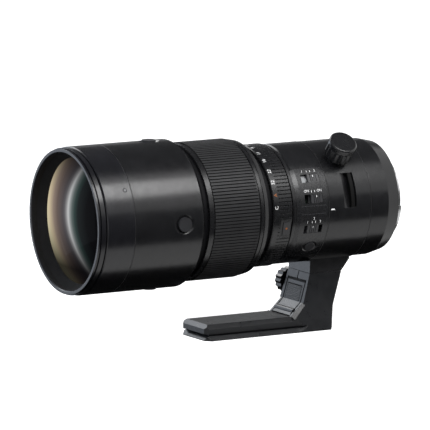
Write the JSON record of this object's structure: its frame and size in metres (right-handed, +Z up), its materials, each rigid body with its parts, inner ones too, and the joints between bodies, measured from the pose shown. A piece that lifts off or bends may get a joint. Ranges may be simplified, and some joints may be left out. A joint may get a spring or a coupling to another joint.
{
  "type": "telephoto lens",
  "caption": "Large telephoto lens with a ribbed focus ring, an aperture ring, side switches, a rotating tripod collar with a lock knob, and a foot with a dovetail rail.",
  "frame": {"origin": "centre of the face of the rear mounting flange, on the lens axis", "axes": "+Y along the lens axis towards the camera, +Z up, +X towards the switch side"},
  "size_m": [0.1046, 0.2521, 0.1422],
  "materials": {
    "barrel_metal": "satin",
    "foot_metal": "satin",
    "inner_metal": "matte",
    "grip_rubber": "matte",
    "button_rubber": "matte",
    "black_plastic": "satin",
    "circuit_board": "satin",
    "front_glass": "gloss",
    "inner_glass": "gloss",
    "bright_steel": "satin",
    "dark_steel": "satin",
    "contact_gold": "polished",
    "motor_metal": "satin"
  },
  "bodies": {
    "foot": {"foot": "foot_metal", "latch_pin": "dark_steel"},
    "clamp_knob": {"clamp_knob": "foot_metal", "clamp_screw": "dark_steel"},
    "release_latch": {"release_latch": "foot_metal"},
    "collar": {"tripod_collar": "barrel_metal", "strap_bars": "dark_steel"},
    "lock_knob": {"collar_knob": "barrel_metal", "collar_knob_stud": "dark_steel"},
    "barrel": {"front_ring": "barrel_metal", "front_element": "front_glass", "second_element": "inner_glass", "main_tube": "inner_metal", "front_barrel": "barrel_metal", "panel_barrel": "barrel_metal", "switch_plate": "black_plastic", "switch_board": "circuit_board", "rear_barrel": "barrel_metal", "mount_flange": "bright_steel", "contact_block": "black_plastic", "contact_pads": "contact_gold", "rear_baffle": "black_plastic", "rear_cell": "inner_metal", "rear_element": "inner_glass", "stabiliser_housing": "inner_metal", "guide_rods": "dark_steel", "focus_motor": "motor_metal", "iris_housing": "black_plastic"},
    "focus_ring": {"focus_ring": "barrel_metal", "focus_grip": "grip_rubber"},
    "aperture_ring": {"aperture_ring": "barrel_metal"},
    "aperture_lock": {"aperture_lock": "black_plastic"},
    "hold_right": {"focus_hold_right": "button_rubber"},
    "hold_top": {"focus_hold_top": "button_rubber"},
    "hold_left": {"focus_hold_left": "button_rubber"},
    "hold_bottom": {"focus_hold_bottom": "button_rubber"},
    "limit_switch": {"limit_switch": "black_plastic"},
    "stabiliser_switch": {"stabiliser_switch": "black_plastic"},
    "preset_switch": {"preset_switch": "black_plastic"},
    "set_button": {"set_button": "button_rubber"},
    "focus_group": {"focus_carriage": "inner_metal", "focus_lens": "inner_glass"},
    "stabiliser_frame": {"stabiliser_frame": "black_plastic"},
    "stabiliser_cell": {"stabiliser_cell": "black_plastic", "stabiliser_lens": "inner_glass"}
  },
  "joints": [
    {"name": "foot_slide", "type": "slide", "parent": "foot", "child": "collar", "axis": [0, 1, 0], "range_m": [0, 0.028]},
    {"name": "clamp_turn", "type": "hinge", "parent": "foot", "child": "clamp_knob", "pos_m": [-0.0165, -0.0547, -0.0593], "axis": [-1, 0, 0], "range_deg": [0, 360]},
    {"name": "latch_press", "type": "hinge", "parent": "foot", "child": "release_latch", "pos_m": [0, -0.06961, -0.07597], "axis": [-1, 0, 0], "range_deg": [0, 4], "stiffness_Nm_per_rad": 0.5},
    {"name": "collar_turn", "type": "hinge", "parent": "collar", "child": "barrel", "pos_m": [0, -0.0415, 0], "axis": [0, 1, 0], "continuous": true},
    {"name": "lock_turn", "type": "hinge", "parent": "collar", "child": "lock_knob", "pos_m": [0.02832, -0.045, 0.03497], "axis": [0.6293, 0, 0.7771], "range_deg": [0, 180]},
    {"name": "focus_turn", "type": "hinge", "parent": "barrel", "child": "focus_ring", "pos_m": [0, -0.136, 0], "axis": [0, 1, 0], "continuous": true},
    {"name": "aperture_turn", "type": "hinge", "parent": "barrel", "child": "aperture_ring", "pos_m": [0, -0.097, 0], "axis": [0, -1, 0], "range_deg": [0, 83]},
    {"name": "lock_press", "type": "slide", "parent": "aperture_ring", "child": "aperture_lock", "axis": [-0.9659, 0, 0.2588], "range_m": [0, 0.0007], "stiffness_N_per_m": 1200},
    {"name": "limit_slide", "type": "slide", "parent": "barrel", "child": "limit_switch", "axis": [0, -1, 0], "range_m": [0, 0.0052]},
    {"name": "stabiliser_slide", "type": "slide", "parent": "barrel", "child": "stabiliser_switch", "axis": [0, -1, 0], "range_m": [0, 0.0052]},
    {"name": "preset_slide", "type": "slide", "parent": "barrel", "child": "preset_switch", "axis": [0, -1, 0], "range_m": [-0.0026, 0.0026]},
    {"name": "set_press", "type": "slide", "parent": "barrel", "child": "set_button", "axis": [-0.7771, 0, 0.6293], "range_m": [0, 0.0008], "stiffness_N_per_m": 1200},
    {"name": "focus_travel", "type": "slide", "parent": "barrel", "child": "focus_group", "axis": [0, 1, 0], "range_m": [-0.005, 0.005]},
    {"name": "steady_sideways", "type": "slide", "parent": "barrel", "child": "stabiliser_frame", "axis": [1, 0, 0], "range_m": [-0.0006, 0.0006], "stiffness_N_per_m": 4000},
    {"name": "steady_upward", "type": "slide", "parent": "stabiliser_frame", "child": "stabiliser_cell", "axis": [0, 0, 1], "range_m": [-0.0006, 0.0006], "stiffness_N_per_m": 4000},
    {"name": "hold_right_press", "type": "slide", "parent": "barrel", "child": "hold_right", "axis": [-1, 0, 0], "range_m": [0, 0.0007], "stiffness_N_per_m": 1200},
    {"name": "hold_top_press", "type": "slide", "parent": "barrel", "child": "hold_top", "axis": [0, 0, -1], "range_m": [0, 0.0007], "stiffness_N_per_m": 1200},
    {"name": "hold_left_press", "type": "slide", "parent": "barrel", "child": "hold_left", "axis": [1, 0, 0], "range_m": [0, 0.0007], "stiffness_N_per_m": 1200},
    {"name": "hold_bottom_press", "type": "slide", "parent": "barrel", "child": "hold_bottom", "axis": [0, 0, 1], "range_m": [0, 0.0007], "stiffness_N_per_m": 1200}
  ]
}
